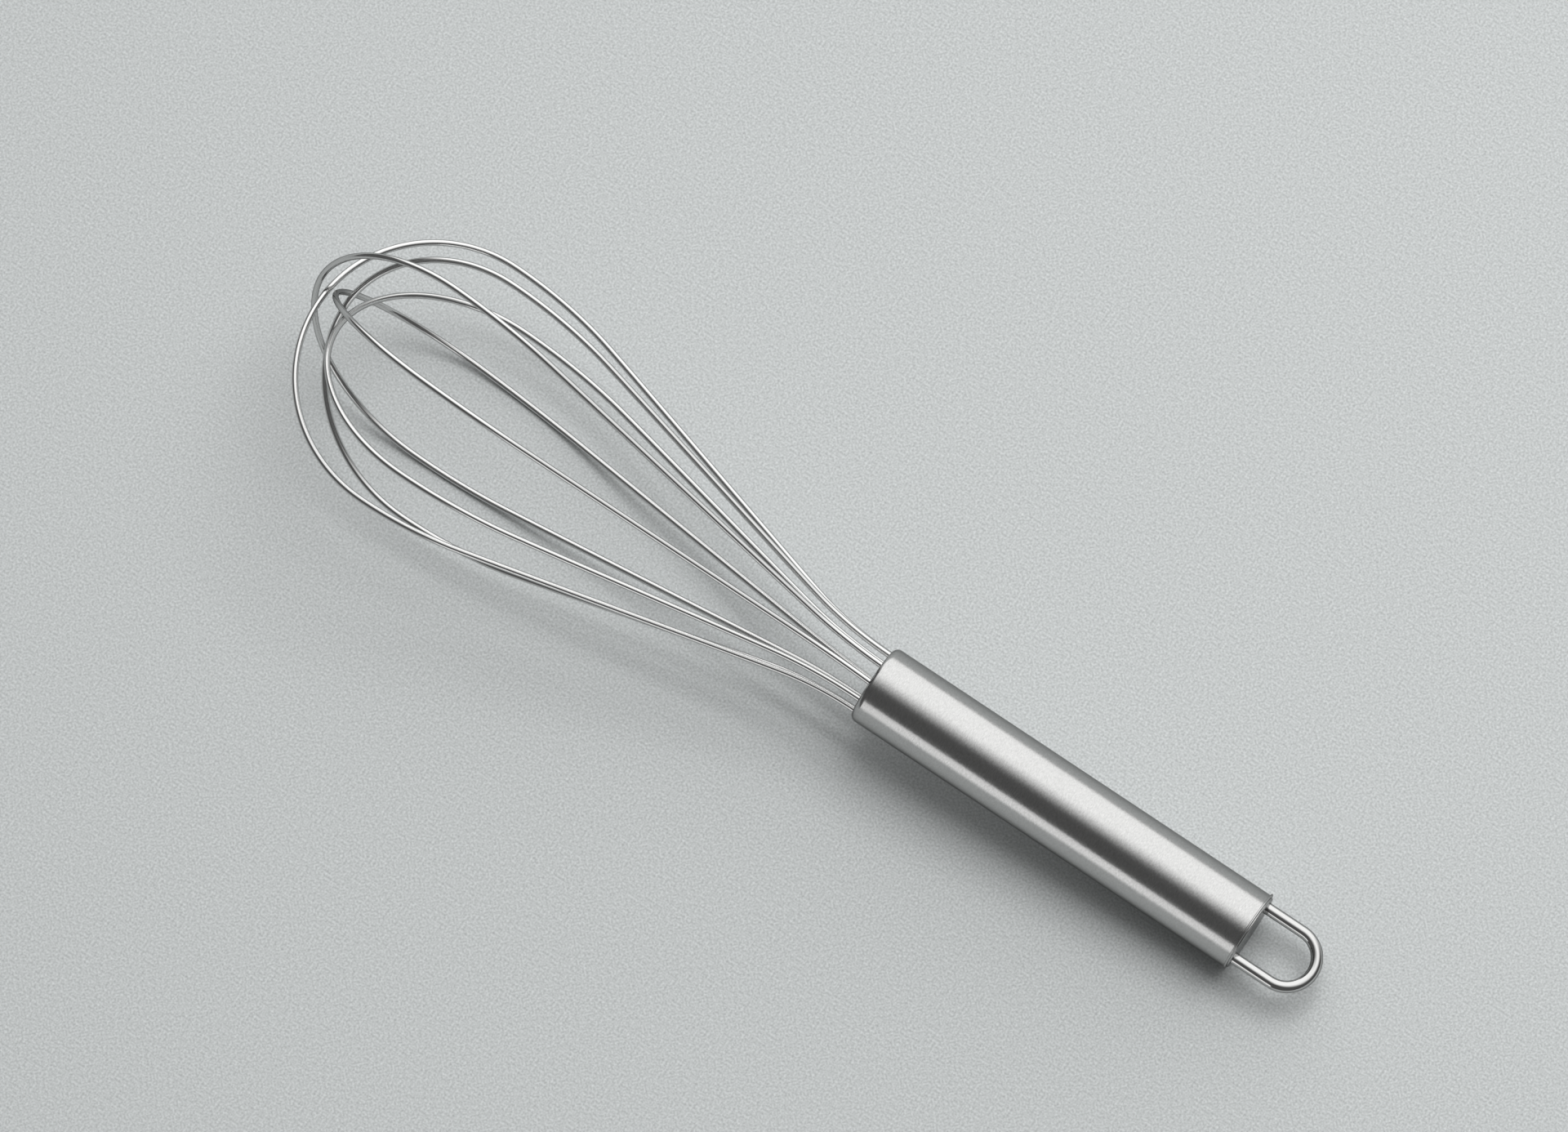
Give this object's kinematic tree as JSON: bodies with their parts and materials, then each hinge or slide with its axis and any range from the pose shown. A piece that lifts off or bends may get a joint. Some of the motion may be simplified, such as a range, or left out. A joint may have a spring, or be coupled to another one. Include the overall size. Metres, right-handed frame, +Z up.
{
  "type": "balloon whisk",
  "caption": "Hand whisk with a balloon of nested springy wire loops, a tubular brushed steel handle and a wire hanging eye in its end cap.",
  "frame": {"origin": "centre of the bottom of the whisk's box, on the surface that it lies on", "axes": "+X from the balloon to the hanging eye, +Y to the side, +Z up from the surface that the whisk lies on"},
  "size_m": [0.315, 0.0768, 0.0748],
  "materials": {
    "handle_tube": "satin, brushed along the handle",
    "resin_plug": "cast resin, matt",
    "whisk_wire": "drawn wire, bright",
    "end_cap": "satin",
    "hanging_eye": "polished"
  },
  "bodies": {
    "root": {"handle_tube": "handle_tube", "resin_plug": "resin_plug", "whisk_wire_1": "whisk_wire", "whisk_wire_2": "whisk_wire", "whisk_wire_3": "whisk_wire", "whisk_wire_4": "whisk_wire", "whisk_wire_5": "whisk_wire", "end_cap": "end_cap", "hanging_eye": "hanging_eye"}
  },
  "joints": []
}
